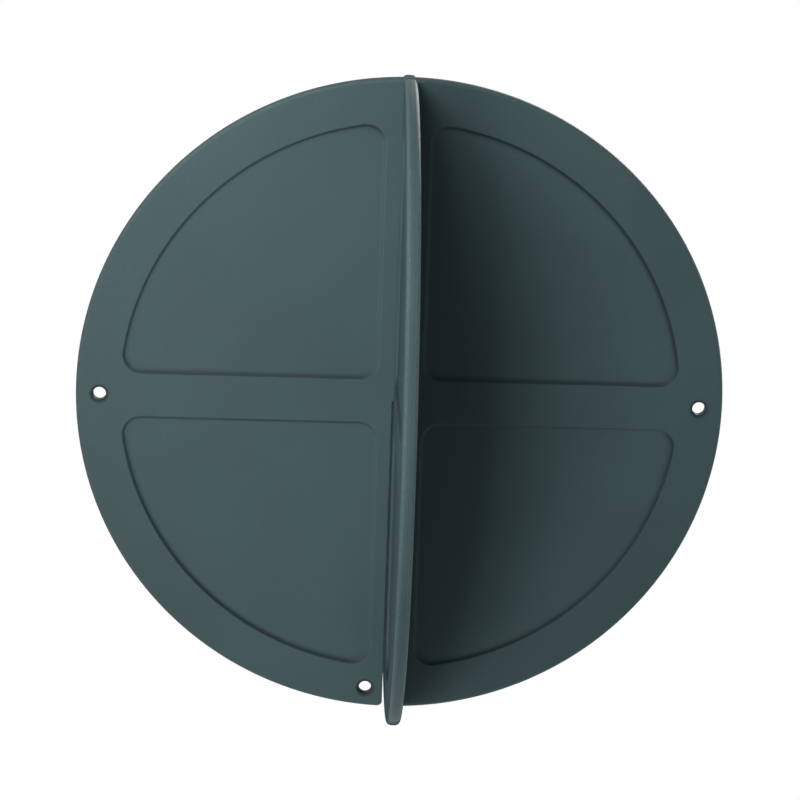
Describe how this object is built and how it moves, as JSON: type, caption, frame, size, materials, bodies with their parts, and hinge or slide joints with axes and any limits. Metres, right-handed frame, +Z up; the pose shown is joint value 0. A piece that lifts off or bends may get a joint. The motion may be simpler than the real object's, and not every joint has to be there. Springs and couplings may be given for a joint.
{
  "type": "anchor ball",
  "caption": "Collapsible anchor ball day shape: slotted moulded plastic discs pushed together at right angles, with rimmed panels and holes for hoisting and downhaul lines.",
  "frame": {"origin": "shared centre of the two discs, where the closed ends of their slots meet", "axes": "+Z up along the line of the slots, the main disc in the XZ plane with its pictured face towards -Y, the cross disc in the YZ plane"},
  "size_m": [0.3, 0.3, 0.3],
  "materials": {
    "disc_plastic": "satin"
  },
  "bodies": {
    "cross_disc": {"cross_disc": "disc_plastic"},
    "main_disc": {"main_disc": "disc_plastic"}
  },
  "joints": [
    {"name": "main_disc_slide", "type": "slide", "parent": "cross_disc", "child": "main_disc", "axis": [0, 0, 1], "range_m": [0, 0.305]}
  ]
}
